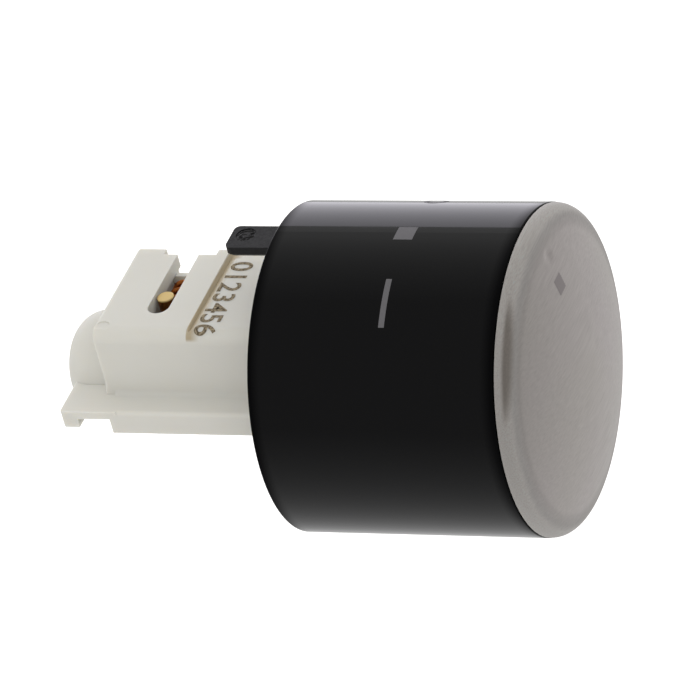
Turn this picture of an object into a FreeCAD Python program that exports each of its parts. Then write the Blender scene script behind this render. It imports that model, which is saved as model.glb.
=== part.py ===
import FreeCAD, Part
import math
import os

# Retractable control knob.  Millimetres.  The knob's axis is Y: the cap faces -Y and the
# shaft comes in from +Y.  The origin is the centre of the shaft hole's mouth, on the end
# face of the carrier's boss.  +Z points up through the slot, the pin and the tongue.

# ---- driving dimensions: the knob seen from outside ---------------------------------
knob_r = 16.0              # outside radius of the sleeve
sleeve_len = 24.8          # front rim to rear rim of the sleeve
sleeve_wall = 0.5
rim_round = 0.15           # softened edges of the sleeve's two rims
knob_standoff = 24.2       # from the sleeve's rear rim back to the end of the boss
seam_gap = 0.14            # open joint between sleeve and cap
cap_inset = 0.05           # the cap's edge lies this far inside the sleeve's surface
cap_sheet = 0.5            # thickness of the steel
cap_rim_round = 1.5        # radius of the cap's rounded rim
cap_dome_r = 48.0          # radius of the domed face
dimple_r = 0.75            # small dimple near the edge of the face
dimple_depth = 0.08
dimple_x = 0.55
dimple_inset = 3.0         # from the knob's outside in to the dimple's centre
adhesive = 0.8             # foam disc under the cap
adhesive_margin = 2.75     # the foam stops this far inside the cap's edge

# ---- driving dimensions: the travel ------------------------------------------------
travel = 7.7               # full push; the knob latches one millimetre before it
latch_back = 1.0           # distance the knob springs back onto its latch
follower_swing = 1.3       # how far the pin moves across while the knob is pushed home
end_gap = 0.15             # left between the slider and its bore's end at full push
front_gap = 0.8            # left between the slider's screws and the carrier at full push

# ---- driving dimensions: shaft and slider ------------------------------------------
shaft_hole_r = 3.05        # for a 6 mm shaft
pilot_len = 2.0            # round part of the hole, in the boss
d_flat = 1.55              # height of the flat in the slider's D-shaped bore
d_bore_len = 24.0
lightening_r = 2.2         # hole from the front that meets the shaft's bore
lightening_web = 2.0       # material left between the two
slider_wall = 1.15
slider_run = 0.07          # running clearance of the slider in the carrier
slider_flat_cut = 0.7      # depth of the flat that the track is cut in
slider_flange = 1.5
pin_setback = 0.9          # from the slider's rear end forward to the pin at rest
track_depth = 0.7
track_gap = 0.08           # clearance of the pin's tip in the track
track_spare = 0.1          # the track runs on past the pin at full push
track_merge = 2.4          # the return leg is back in the middle this far from the pin at rest
track_slant = 2.0          # length over which it comes back
track_mouth = 2.0          # the track's straight mouth behind the pin
flat_spare = 1.4           # the slider's flat runs on past the pin at full push
island_half = 0.35         # half width of the island at its rear end
island_rear = 1.5          # its rear end, ahead of the place where the two legs meet
horn_len = 0.85            # the two horns beside the notch
horn_rise = 0.05           # their tips stand out this much
horn_tip = 0.6             # where the tips are, as a share of the way out to the corners
clip_half = 1.25
clip_sheet = 0.25
clip_len = 10.5
clip_setback = 1.5         # from the slider's rear end to the clip
clip_bow = 0.4
clip_pocket = 0.7

# ---- driving dimensions: springs and washers ----------------------------------------
bias_wire = 0.65
bias_coil_r = 1.15         # outside radius of the bias spring
bias_turns = 2.28
bias_start_angle = 149.0   # where its wire starts; its cut ends are out of sight
return_wire = 0.75
return_turns = 9.0
return_gap = 0.48          # between the slider and the return spring around it
washer = 0.4
washer_rim = 0.37          # the front washer stands out this far past the spring
washer_gap = 0.2           # between the rear washer and the slider

# ---- driving dimensions: carrier ----------------------------------------------------
boss_wall = 0.98           # round the slider's bore
boss_rim = 0.55            # flat ring round the shaft hole's mouth
boss_nose = 2.8            # length of the rounded nose
block_rear = 5.2           # rear face of the block, in front of the boss's end
block_left = 6.5
block_right = 7.25
block_round = 1.3
block_rear_round = 0.4
blend_r = 0.6              # hollow corner between the block's sides and the flange
flange_half = 9.5
flange_top = 1.2
flange_bottom = -1.46
flange_rear = 6.16
flange_round = 0.4
pocket_gap = 0.47          # between the return spring and its pocket
pocket_wall = 0.8
arm_rear = 1.23            # rear end of the snap arm
arm_bottom = 0.36
arm_inner = 4.7
arm_root = 1.2             # how far the arm runs into the block beside it
arm_round = 0.3
hook_len = 1.7
hook_bottom = -0.66
top_wall = 1.4             # wall over the follower's chamber
spring_shoulder = 22.0     # step that the return spring's rear seat rests on
rib_places = (10.0, 16.0, 22.0)
rib_inner = 5.5
rib_outer = 8.4
rib_drop = 1.5
rib_thick = 1.0
recess_depth = 0.85        # hollow in the right-hand side, round the bias spring's plate
recess_behind = 2.42
recess_ahead = 3.15
trough_rear = 15.1         # trough across the top, steep behind and shallow in front
trough_front = 16.05
trough_wall = 0.3          # how far its steep side leans
trough_depth = 0.35
trough_lean = 1.2          # it runs deeper towards the right-hand side
step_left = 5.8            # low strip along the right-hand edge of the top
step_depth = 0.5
ejector_r = 0.75           # round mark that an ejector pin leaves
ejector_depth = 0.1
ejector_x = -5.3
ejector_y = -6.1

# ---- driving dimensions: follower ----------------------------------------------------
pin_r = 0.85
pin_sink = 0.35            # the pin's top lies this far under the top face
pin_round = 0.1
pin_collar_r = 1.2
pin_collar_len = 1.15
pin_tip_r = 0.45
tip_gap = 0.1              # under the tip, and beside it in its window
slot_behind = 0.1          # gap between pin and slot, behind it and ahead of it
slot_ahead = 0.45
slot_spare = 1.05          # left of the pin at the end of its swing
ledge = 0.43               # shelf that the pin's collar slides on
ledge_run = 0.05
chamber_gap = 0.1          # over the bias spring and beside the collar
plate_inset = 2.5          # inner face of the plate, in from the block's right side
plate_thick = 0.55
plate_lap = 0.7            # the plate runs into its groove this far beside the chamber
plate_drop = 0.6

# ---- driving dimensions: core, collar, fasteners -------------------------------------
front_plate = 1.0          # core's front plate, inside the sleeve
core_gap = 0.05            # glue line between core and sleeve
core_wall = 1.25
core_rear_step = 0.6       # the core stops this far inside the sleeve's rear rim
core_plate = 1.9           # least thickness under the slider's screws
guide_wall = 1.2
guide_space = 1.4          # between the guide tube and the core's outer wall
guide_tail = 0.9           # the guide tube runs past the stop screws
key_width = 2.4
key_depth = 1.6
key_gap = 0.1
core_rib = 1.2
core_rib_count = 6
core_rib_short = 2.0
snap_ring_r = 0.28         # half the thickness of the ring's wire
snap_ring_sink = 0.33
snap_ring_back = 3.0       # from the sleeve's rear rim
snap_groove_r = 0.30
snap_ring_side = 0.85      # its ends stop this far beside the tongue
tongue_half = 1.75
tongue_sink = 0.1          # its top lies this far inside the core's surface
tongue_thick = 1.3
tongue_reach = 4.85        # how far it stands out behind the sleeve's rear rim
tongue_root = 2.0          # its front end, behind the core's front plate
tongue_round = 0.6
tongue_chamfer = 0.5
gate_r = 1.0               # scar of the moulding gate
gate_depth = 0.12
gate_stub_r = 0.45
gate_stub_low = 0.02
gate_x = 0.35
gate_back = 1.55
collar_len = 3.0
collar_run = 0.2           # between the collar and the guide tube
ring_run = 0.04            # running clearance of the slide ring in the guide tube
ring_width = 1.4
ring_thick = 0.7
ring_split = 0.6
screw_r = 0.7              # shank of the small screws
screw_head_r = 1.2
screw_head = 1.0
screw_space = 0.2          # between a screw's head and the piece beside it
screw_rim = 1.3            # from a screw's axis to the slider flange's edge
slider_screw_len = 3.1
collar_screw_len = 8.0
recess_width = 0.34        # cross recess in the small screws
recess_reach = 0.74
recess_deep = 0.5
stop_screw_r = 1.0
stop_screw_in = 1.6        # the stop screws' tips stand this far inside the guide tube
stop_head_r = 1.5
stop_head = 1.1
stop_slot = 0.4
stop_angles = (math.radians(-50), math.radians(-130))
fit = 0.02                 # clearance between pieces that are pushed together
seat_fit = 0.05            # under a screw's head, and at a spring's end
axial_play = 0.1

# ---- places that follow from them ------------------------------------------------------
sleeve_rear_y = -knob_standoff
sleeve_front_y = sleeve_rear_y - sleeve_len
sleeve_in_r = knob_r - sleeve_wall
cap_rear_y = sleeve_front_y - seam_gap
cap_r = knob_r - cap_inset
dimple_z = knob_r - dimple_inset
core_r = sleeve_in_r - core_gap
core_back_y = sleeve_front_y + front_plate
core_rear_y = sleeve_rear_y - core_rear_step
guide_r = core_r - core_wall - guide_space - guide_wall
tongue_top = core_r - tongue_sink
tongue_rear_y = sleeve_rear_y + tongue_reach

slider_r = shaft_hole_r + slider_wall
slider_hole_r = slider_r + slider_run
boss_r = slider_hole_r + boss_wall
boss_end_r = shaft_hole_r + boss_rim
slider_flat = slider_r - slider_flat_cut
slider_rear_y = -(pilot_len + end_gap + travel)
slider_flange_y = core_back_y + slider_flange
clip_rear_y = slider_rear_y - clip_setback
clip_front_y = clip_rear_y - clip_len

return_coil_r = slider_r + return_gap + return_wire
front_washer_r = return_coil_r + washer_rim
spring_pocket_r = return_coil_r + pocket_gap
barrel_r = spring_pocket_r + pocket_wall
slider_screw_z = front_washer_r + screw_head_r + screw_space
slider_flange_r = slider_screw_z + screw_rim

carrier_front_y = slider_flange_y + screw_head + travel + front_gap
collar_rear_y = carrier_front_y + collar_len
collar_r = guide_r - collar_run
collar_screw_x = barrel_r + screw_head_r + screw_space
stop_y = collar_rear_y + axial_play + stop_screw_r
guide_rear_y = stop_y + stop_screw_r + guide_tail

pin_y = slider_rear_y - pin_setback
ledge_z = slider_hole_r + ledge
chamber_top = ledge_z + 2 * bias_coil_r + chamber_gap
chamber_half = max(pin_collar_r, bias_coil_r) + chamber_gap
bias_axis_z = chamber_top - bias_coil_r - chamber_gap / 2
block_top = chamber_top + top_wall
pin_top = block_top - pin_sink
pin_collar_bottom = ledge_z + ledge_run
pin_collar_top = pin_collar_bottom + pin_collar_len
slot_rear_y = pin_y + pin_r + slot_behind
slot_front_y = pin_y - pin_r - slot_ahead
slot_left = -(follower_swing + pin_r + slot_spare)
plate_left = block_right - plate_inset
plate_half = chamber_half + plate_lap
flange_mid_z = (flange_top + flange_bottom) / 2
AXIS = FreeCAD.Vector(0, 1, 0)
OVER = 1.0                 # how far a cutting tool runs past the piece
MERGE = 0.1                # how far two shapes overlap before they are joined
SAME = 0.01                # places closer than this are taken as one


def box(x0, x1, y0, y1, z0, z1):
    return Part.makeBox(x1 - x0, y1 - y0, z1 - z0, FreeCAD.Vector(x0, y0, z0))


def side_box(side, inner, outer, y0, y1, z0, z1):
    """A box on the left (-1) or the right (+1), from inner to outer in X."""
    x0, x1 = sorted((side * inner, side * outer))
    return box(x0, x1, y0, y1, z0, z1)


def rod_y(r, y0, y1, x=0.0, z=0.0):
    return Part.makeCylinder(r, y1 - y0, FreeCAD.Vector(x, y0, z), AXIS)


def tube_y(r_out, r_in, y0, y1):
    return rod_y(r_out, y0, y1).cut(rod_y(r_in, y0 - OVER, y1 + OVER))


def rod_z(r, z0, z1, x, y):
    return Part.makeCylinder(r, z1 - z0, FreeCAD.Vector(x, y, z0), FreeCAD.Vector(0, 0, 1))


def radial_rod(r, from_r, to_r, angle):
    """A rod at stop_y that points outwards, at an angle measured from +X towards +Z."""
    out = FreeCAD.Vector(math.cos(angle), 0, math.sin(angle))
    start = FreeCAD.Vector(0, stop_y, 0) + out * from_r
    return Part.makeCylinder(r, to_r - from_r, start, out)


def turned(points):
    """A solid of revolution about Y from (radius, y) points.  A point with four numbers ends
    an arc, and its last two are the arc's middle."""
    edges = []
    last = FreeCAD.Vector(points[0][0], points[0][1], 0)
    for point in points[1:] + points[:1]:
        end = FreeCAD.Vector(point[0], point[1], 0)
        if len(point) == 4:
            middle = FreeCAD.Vector(point[2], point[3], 0)
            edges.append(Part.Arc(last, middle, end).toShape())
        elif (end - last).Length > 1e-6:
            edges.append(Part.LineSegment(last, end).toShape())
        last = end
    face = Part.Face(Part.Wire(edges))
    return face.revolve(FreeCAD.Vector(0, 0, 0), AXIS, 360)


def prism(points, path):
    """A straight-sided solid from its corners and the way that they are pushed out."""
    return Part.Face(Part.makePolygon(points + points[:1])).extrude(path)


def edges_at(shape, test):
    """Edges whose centre passes the test."""
    return [edge for edge in shape.Edges if test(edge.CenterOfMass, edge)]


def is_ring(edge):
    return len(edge.Vertexes) == 1


def near(a, b):
    return abs(a - b) < SAME


def coil(coil_r, wire, turns, start, length, direction, phase=0.0):
    """A coil spring with plain ends: coil_r is its outside radius, length is over its ends."""
    mean = coil_r - wire / 2
    pitch = (length - wire) / turns
    helix = Part.makeHelix(pitch, pitch * turns, mean)
    section = Part.makeCircle(wire / 2, FreeCAD.Vector(mean, 0, 0), FreeCAD.Vector(0, 1, 0))
    spring = Part.Wire(helix).makePipeShell([Part.Wire(section)], True, True)
    spring.translate(FreeCAD.Vector(0, 0, wire / 2))
    spring.rotate(FreeCAD.Vector(0, 0, 0), FreeCAD.Vector(0, 0, 1), phase)
    turn = FreeCAD.Rotation(FreeCAD.Vector(0, 0, 1), direction)
    spring.Placement = FreeCAD.Placement(start, turn).multiply(spring.Placement)
    return spring


# ---- the knob ---------------------------------------------------------------------------
def dome_solid(inset, y_rear):
    """The filled space under the cap's face, offset inwards, closed at y_rear."""
    rim_centre_r = cap_r - cap_rim_round
    rim_r = cap_rim_round - inset
    dome_r = cap_dome_r - inset
    lean = math.asin(rim_centre_r / (cap_dome_r - cap_rim_round))
    rim_middle = (math.pi / 2 + lean) / 2
    join_r = rim_centre_r + rim_r * math.sin(lean)
    join_y = cap_rear_y - rim_r * math.cos(lean)
    middle_r = rim_centre_r + rim_r * math.sin(rim_middle)
    middle_y = cap_rear_y - rim_r * math.cos(rim_middle)
    apex_y = join_y - dome_r * (1 - math.cos(lean))
    dome_middle_r = dome_r * math.sin(lean / 2)
    dome_middle_y = apex_y + dome_r * (1 - math.cos(lean / 2))
    return turned([
        (0, y_rear),
        (cap_r - inset, y_rear),
        (cap_r - inset, cap_rear_y),
        (join_r, join_y, middle_r, middle_y),
        (0, apex_y, dome_middle_r, dome_middle_y),
    ])


def front_cap():
    outside = dome_solid(0.0, cap_rear_y)
    inside = dome_solid(cap_sheet, cap_rear_y + OVER)
    dome_centre_y = outside.BoundBox.YMin + cap_dome_r
    face_y = dome_centre_y - math.sqrt(cap_dome_r ** 2 - dimple_z ** 2 - dimple_x ** 2)
    ball_r = (dimple_r ** 2 + dimple_depth ** 2) / (2 * dimple_depth)
    ball_at = FreeCAD.Vector(dimple_x, face_y + dimple_depth - ball_r, dimple_z)
    return outside.cut(inside).cut(Part.makeSphere(ball_r, ball_at))


def cap_adhesive_disc():
    disc = dome_solid(cap_sheet, core_back_y).cut(dome_solid(cap_sheet + adhesive, core_back_y))
    return disc.common(rod_y(cap_r - adhesive_margin, cap_rear_y - cap_dome_r, cap_rear_y))


def outer_sleeve():
    sleeve = tube_y(knob_r, sleeve_in_r, sleeve_front_y, sleeve_rear_y)
    return sleeve.makeFillet(rim_round, edges_at(sleeve, lambda c, e: is_ring(e)))


def snap_torus(section_r):
    middle = FreeCAD.Vector(0, sleeve_rear_y - snap_ring_back, 0)
    return Part.makeTorus(sleeve_in_r - snap_ring_sink, section_r, middle, AXIS)


def sleeve_snap_ring():
    half = tongue_half + snap_ring_side
    return snap_torus(snap_ring_r).cut(box(-half, half, sleeve_front_y, sleeve_rear_y, 0, knob_r))


def knob_core():
    front = dome_solid(cap_sheet + adhesive, core_back_y)
    shoulder = rod_y(core_r, sleeve_front_y, core_back_y)
    wall = tube_y(core_r, core_r - core_wall, core_back_y - MERGE, core_rear_y)
    guide = tube_y(guide_r + guide_wall, guide_r, core_back_y - MERGE, guide_rear_y)
    core = front.fuse([shoulder, wall, guide])
    guide_middle_r = guide_r + guide_wall / 2
    for side in (-1, 1):
        core = core.fuse(side_box(side, guide_r - key_depth, guide_middle_r, core_back_y - MERGE,
                                  guide_rear_y, -key_width / 2, key_width / 2))
    for number in range(core_rib_count):
        rib = box(guide_middle_r, core_r - core_wall / 2, core_back_y - MERGE,
                  guide_rear_y - core_rib_short, -core_rib / 2, core_rib / 2)
        rib.rotate(FreeCAD.Vector(0, 0, 0), AXIS, 360.0 / core_rib_count * number)
        core = core.fuse(rib)
    core = core.cut(snap_torus(snap_groove_r))
    core = core.cut(box(-tongue_half - fit, tongue_half + fit, core_back_y + tongue_root,
                        sleeve_rear_y, tongue_top - tongue_thick - fit, knob_r))
    for angle in stop_angles:
        core = core.cut(radial_rod(stop_screw_r + fit, 0, guide_r + guide_wall + OVER, angle))
        core = core.cut(radial_rod(stop_head_r + screw_space, guide_r + guide_wall, knob_r, angle))
    for side in (-1, 1):
        core = core.cut(rod_y(screw_r + fit, core_back_y - core_plate, core_back_y + OVER, 0,
                              side * slider_screw_z))
    return core.removeSplitter()


def guide_tongue():
    low = tongue_top - tongue_thick
    strip = box(-tongue_half, tongue_half, core_back_y + tongue_root + fit, tongue_rear_y,
                low, tongue_top)
    strip = strip.makeFillet(tongue_round, edges_at(
        strip, lambda c, e: near(c.y, tongue_rear_y) and abs(c.x) > tongue_half / 2))
    strip = strip.makeChamfer(tongue_chamfer, edges_at(
        strip, lambda c, e: near(c.z, low) and c.y > tongue_rear_y - tongue_round))
    gate_y = tongue_rear_y - gate_back
    scar = rod_z(gate_r, tongue_top - gate_depth, tongue_top + OVER, gate_x, gate_y)
    stub = rod_z(gate_stub_r, tongue_top - gate_depth, tongue_top - gate_stub_low, gate_x, gate_y)
    return strip.cut(scar).fuse(stub)


def stop_screws():
    head_from = guide_r + guide_wall
    screws = []
    for angle in stop_angles:
        shank = radial_rod(stop_screw_r, guide_r - stop_screw_in, head_from + MERGE, angle)
        head = radial_rod(stop_head_r, head_from, head_from + stop_head, angle)
        slot = box(head_from + stop_head - recess_deep, head_from + stop_head + OVER,
                   stop_y - stop_slot / 2, stop_y + stop_slot / 2, -2 * stop_head_r, 2 * stop_head_r)
        slot.rotate(FreeCAD.Vector(0, 0, 0), AXIS, -math.degrees(angle))
        screws.append(shank.fuse(head).cut(slot))
    return Part.makeCompound(screws)


def cross_recess(x, y0, y1, z):
    half = recess_width / 2
    flat = box(x - recess_reach, x + recess_reach, y0, y1, z - half, z + half)
    return flat.fuse(box(x - half, x + half, y0, y1, z - recess_reach, z + recess_reach))


# ---- the slider and what it carries --------------------------------------------------------
def slider_screws():
    screws = []
    head_end_y = slider_flange_y + screw_head
    for side in (-1, 1):
        z = side * slider_screw_z
        shank = rod_y(screw_r, slider_flange_y - slider_screw_len, slider_flange_y + MERGE, 0, z)
        head = rod_y(screw_head_r, slider_flange_y, head_end_y, 0, z)
        recess = cross_recess(0, head_end_y - recess_deep, head_end_y + OVER, z)
        screws.append(shank.fuse(head).cut(recess))
    return Part.makeCompound(screws)


def track_point(across, along):
    """A point of the latch track: along is measured forwards from the pin at rest."""
    return FreeCAD.Vector(across, pin_y - along, slider_flat - track_depth)


def latch_track():
    """The latch loop: a push-in leg that slants to the right, a notch that the pin drops
    into, and a return leg on the left, round an island."""
    half = pin_tip_r + track_gap
    far = travel + pin_tip_r + track_spare
    side = follower_swing + half
    outline = [
        track_point(-half, -track_mouth), track_point(half, -track_mouth), track_point(half, 0),
        track_point(side, travel), track_point(side, far), track_point(-side, far),
        track_point(-side, track_merge + track_slant), track_point(-half, track_merge),
    ]
    notch = travel - latch_back - pin_tip_r
    crown = notch + horn_len
    tips = crown + horn_rise
    crown_right = follower_swing / travel * crown - half - fit
    island_left = -side + 2 * half + fit
    island_bend = track_merge + track_slant + half
    island = [
        track_point(-island_half, track_merge + island_rear), track_point(crown_right, crown),
        track_point(crown_right * horn_tip, tips), track_point(0, notch),
        track_point(island_left * horn_tip, tips), track_point(island_left, crown),
        track_point(island_left, island_bend),
    ]
    up = FreeCAD.Vector(0, 0, slider_r)
    return prism(outline, up).cut(prism(island, up))


def latch_slider():
    body = rod_y(slider_r, core_back_y, slider_rear_y)
    slider = body.fuse(rod_y(slider_flange_r, core_back_y, slider_flange_y))
    flat_front_y = pin_y - travel - flat_spare
    slider = slider.cut(box(-slider_r, slider_r, flat_front_y, slider_rear_y + OVER, slider_flat,
                            slider_r + OVER))
    slider = slider.cut(latch_track())
    bore_front_y = slider_rear_y - d_bore_len
    bore = rod_y(shaft_hole_r, bore_front_y, slider_rear_y + OVER)
    flat = box(-slider_r, slider_r, bore_front_y - OVER, slider_rear_y + 2 * OVER, d_flat, slider_r)
    slider = slider.cut(bore.cut(flat))
    slider = slider.cut(box(-clip_half - fit, clip_half + fit, clip_front_y - fit, clip_rear_y + fit,
                            d_flat - MERGE, d_flat + clip_pocket))
    slider = slider.cut(rod_y(lightening_r, core_back_y - OVER, bore_front_y - lightening_web))
    for side in (-1, 1):
        slider = slider.cut(rod_y(screw_r + fit, core_back_y - OVER, slider_flange_y + OVER, 0,
                                  side * slider_screw_z))
    return slider


def shaft_clip():
    """A bowed leaf: its feet rest in the pocket and its middle presses on the shaft's flat."""
    foot_z = d_flat + clip_pocket - seat_fit - clip_sheet
    low = FreeCAD.Vector(-clip_half, clip_front_y, foot_z)
    high = FreeCAD.Vector(-clip_half, clip_rear_y, foot_z)
    middle = FreeCAD.Vector(-clip_half, (clip_front_y + clip_rear_y) / 2, foot_z - clip_bow)
    up = FreeCAD.Vector(0, 0, clip_sheet)
    outline = [
        Part.Arc(low, middle, high).toShape(),
        Part.LineSegment(high, high + up).toShape(),
        Part.Arc(high + up, middle + up, low + up).toShape(),
        Part.LineSegment(low + up, low).toShape(),
    ]
    return Part.Face(Part.Wire(outline)).extrude(FreeCAD.Vector(2 * clip_half, 0, 0))


# ---- the carrier ------------------------------------------------------------------------------
def carrier_block():
    """The tall block with its rounded upper edge."""
    block = box(-block_left, block_right, collar_rear_y, -block_rear, 0, block_top)
    block = block.makeFillet(block_round, edges_at(
        block, lambda c, e: near(c.x, -block_left) and near(c.z, block_top)))
    return block.makeFillet(block_rear_round, edges_at(
        block, lambda c, e: near(c.y, -block_rear) and not near(c.z, 0)))


def block_blend(side, face_x):
    """The rounded corner where a side of the block meets the flange."""
    centre_x = face_x + blend_r
    centre_z = flange_top + blend_r
    corner = side_box(side, face_x - MERGE, centre_x, collar_rear_y, -flange_rear,
                      flange_top - MERGE, centre_z)
    return corner.cut(rod_y(blend_r, collar_rear_y - OVER, -flange_rear + OVER,
                            side * centre_x, centre_z))


def carrier_boss():
    """The boss, with a nose that rounds in to a narrow flat ring."""
    drop = boss_r - boss_end_r
    nose_r = (drop ** 2 + boss_nose ** 2) / (2 * drop)
    half_turn = math.asin(boss_nose / nose_r) / 2
    middle_r = boss_r - nose_r * (1 - math.cos(half_turn))
    middle_y = nose_r * math.sin(half_turn) - boss_nose
    return turned([
        (0, -block_rear - OVER),
        (boss_r, -block_rear - OVER),
        (boss_r, -boss_nose),
        (boss_end_r, 0, middle_r, middle_y),
        (0, 0),
    ])


def carrier_flange():
    flange = box(-flange_half, flange_half, collar_rear_y, -flange_rear, flange_bottom, flange_top)
    return flange.makeFillet(flange_round, edges_at(
        flange, lambda c, e: near(abs(c.x), flange_half) and c.y < 0))


def snap_arm(side):
    """A thin arm that runs back from the flange and turns down into a hook."""
    arm = side_box(side, arm_inner - arm_root, flange_half, -flange_rear - OVER, -arm_rear,
                   arm_bottom, flange_top)
    hook = side_box(side, arm_inner, flange_half, -arm_rear - hook_len, -arm_rear, hook_bottom,
                    arm_bottom + MERGE)
    arm = arm.fuse(hook).removeSplitter()
    return arm.makeFillet(arm_round, edges_at(
        arm, lambda c, e: near(c.x, side * flange_half) and near(c.y, -arm_rear)))


def flange_rib(side, y):
    """A three-cornered rib under the flange."""
    top = flange_bottom + MERGE
    corners = [
        FreeCAD.Vector(side * rib_inner, y - rib_thick / 2, top),
        FreeCAD.Vector(side * rib_outer, y - rib_thick / 2, top),
        FreeCAD.Vector(side * rib_inner, y - rib_thick / 2, flange_bottom - rib_drop),
    ]
    return prism(corners, FreeCAD.Vector(0, rib_thick, 0))


def follower_openings():
    """The slot in the top wall, the chamber under it, the track window in its floor and the
    groove of the plate that closes it."""
    slot_r = (slot_rear_y - slot_front_y) / 2
    slot = box(slot_left + slot_r, block_right + OVER, slot_front_y, slot_rear_y, ledge_z,
               block_top + OVER)
    slot = slot.cut(box(plate_left, block_right + 2 * OVER, slot_front_y - OVER, slot_rear_y + OVER,
                        0, chamber_top))
    slot = slot.fuse(rod_z(slot_r, ledge_z, block_top + OVER, slot_left + slot_r,
                           (slot_front_y + slot_rear_y) / 2))
    chamber = box(-follower_swing - pin_collar_r - chamber_gap, block_right + OVER,
                  pin_y - chamber_half, pin_y + chamber_half, ledge_z, chamber_top)
    window_x = follower_swing + pin_tip_r + tip_gap
    window_y = pin_tip_r + tip_gap
    window = box(-window_x, window_x, pin_y - window_y, pin_y + window_y, 0, ledge_z + MERGE)
    groove = box(plate_left - fit, plate_left + plate_thick + fit, pin_y - plate_half - fit,
                 pin_y + plate_half + fit, ledge_z - plate_drop, chamber_top)
    return [slot, chamber, window, groove]


def surface_hollows():
    """The recess in the side, the trough and the step in the top, and the ejector's mark."""
    beyond = block_right + OVER
    recess = box(block_right - recess_depth, beyond, pin_y - recess_ahead, pin_y + recess_behind,
                 flange_top, block_top + OVER)
    wide = flange_half + 2 * OVER
    foot = trough_rear + trough_wall
    over_top = block_top + OVER
    corners = [
        FreeCAD.Vector(-wide, -trough_rear, over_top),
        FreeCAD.Vector(-wide, -trough_rear, block_top),
        FreeCAD.Vector(-wide, -foot, block_top - trough_depth),
        FreeCAD.Vector(-wide, foot - 2 * trough_front, block_top + trough_depth),
        FreeCAD.Vector(-wide, foot - 2 * trough_front, over_top),
    ]
    trough = prism(corners, FreeCAD.Vector(2 * wide, 0, 0))
    trough.rotate(FreeCAD.Vector(0, 0, block_top), AXIS, trough_lean)
    step = box(step_left, beyond, carrier_front_y, -foot, block_top - step_depth, over_top)
    mark = rod_z(ejector_r, block_top - ejector_depth, block_top + OVER, ejector_x, ejector_y)
    return [recess, trough, step, mark]


def carrier():
    barrel = rod_y(barrel_r, carrier_front_y, -block_rear)
    body = carrier_block().fuse([carrier_boss(), barrel, carrier_flange(), snap_arm(-1), snap_arm(1),
                                 block_blend(-1, block_left), block_blend(1, block_right)])
    for place in rib_places:
        for side in (-1, 1):
            body = body.fuse(flange_rib(side, -place))
    body = body.cut(rod_y(shaft_hole_r, -pilot_len - MERGE, OVER))
    body = body.cut(rod_y(slider_hole_r, carrier_front_y - OVER, -pilot_len))
    body = body.cut(rod_y(spring_pocket_r, carrier_front_y - OVER, -spring_shoulder))
    for hollow in follower_openings() + surface_hollows():
        body = body.cut(hollow)
    hole_rear_y = carrier_front_y + collar_screw_len + MERGE
    for side in (-1, 1):
        body = body.cut(rod_y(screw_r + fit, carrier_front_y - OVER, hole_rear_y,
                              side * collar_screw_x, flange_mid_z))
    return body.removeSplitter()


def ring_span(extra):
    """Front and rear of the slide ring, or of its groove."""
    middle = (carrier_front_y + collar_rear_y) / 2
    return middle - ring_width / 2 - extra, middle + ring_width / 2 + extra


def guide_collar():
    collar = tube_y(collar_r, barrel_r + fit, carrier_front_y, collar_rear_y)
    groove_front_y, groove_rear_y = ring_span(fit)
    groove_r = guide_r - ring_run - ring_thick - fit
    collar = collar.cut(tube_y(collar_r + OVER, groove_r, groove_front_y, groove_rear_y))
    cut_from_y = carrier_front_y - OVER
    key_half = key_width / 2 + key_gap
    for side in (-1, 1):
        x = side * collar_screw_x
        collar = collar.cut(side_box(side, guide_r - key_depth - key_gap, collar_r + OVER,
                                     cut_from_y, collar_rear_y + OVER, -key_half, key_half))
        collar = collar.cut(rod_y(screw_r + fit, cut_from_y, collar_rear_y + OVER, x, flange_mid_z))
        collar = collar.cut(rod_y(screw_head_r + axial_play, cut_from_y,
                                  carrier_front_y + screw_head + axial_play, x, flange_mid_z))
    return collar


def collar_screws():
    head_front_y = carrier_front_y + axial_play
    head_rear_y = head_front_y + screw_head
    screws = []
    for side in (-1, 1):
        x = side * collar_screw_x
        shank = rod_y(screw_r, head_rear_y - MERGE, carrier_front_y + collar_screw_len, x, flange_mid_z)
        head = rod_y(screw_head_r, head_front_y, head_rear_y, x, flange_mid_z)
        recess = cross_recess(x, head_front_y - OVER, head_front_y + recess_deep, flange_mid_z)
        screws.append(shank.fuse(head).cut(recess))
    return Part.makeCompound(screws)


def slide_ring():
    """Two half rings of slippery plastic that run in the guide tube, clear of its keys."""
    outer = guide_r - ring_run
    front_y, rear_y = ring_span(0.0)
    ring = tube_y(outer, outer - ring_thick, front_y, rear_y)
    gap = key_width / 2 + key_gap + ring_split / 2
    return ring.cut(box(-knob_r, knob_r, front_y - OVER, rear_y + OVER, -gap, gap))


# ---- the follower and the springs ---------------------------------------------------------------
def follower_pin():
    tip = rod_z(pin_tip_r, slider_flat - track_depth + tip_gap, pin_collar_bottom + MERGE, 0, pin_y)
    collar = rod_z(pin_collar_r, pin_collar_bottom, pin_collar_top, 0, pin_y)
    shank = rod_z(pin_r, pin_collar_top - MERGE, pin_top, 0, pin_y)
    shank = shank.makeFillet(pin_round, edges_at(
        shank, lambda c, e: near(c.z, pin_top) and is_ring(e)))
    return tip.fuse([collar, shank]).removeSplitter()


def bias_spring():
    start = FreeCAD.Vector(pin_collar_r + seat_fit, pin_y, bias_axis_z)
    length = plate_left - seat_fit - start.x
    return coil(bias_coil_r, bias_wire, bias_turns, start, length, FreeCAD.Vector(1, 0, 0),
                bias_start_angle)


def bias_spring_plate():
    return box(plate_left, plate_left + plate_thick, pin_y - plate_half, pin_y + plate_half,
               ledge_z - plate_drop + fit, chamber_top)


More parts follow.
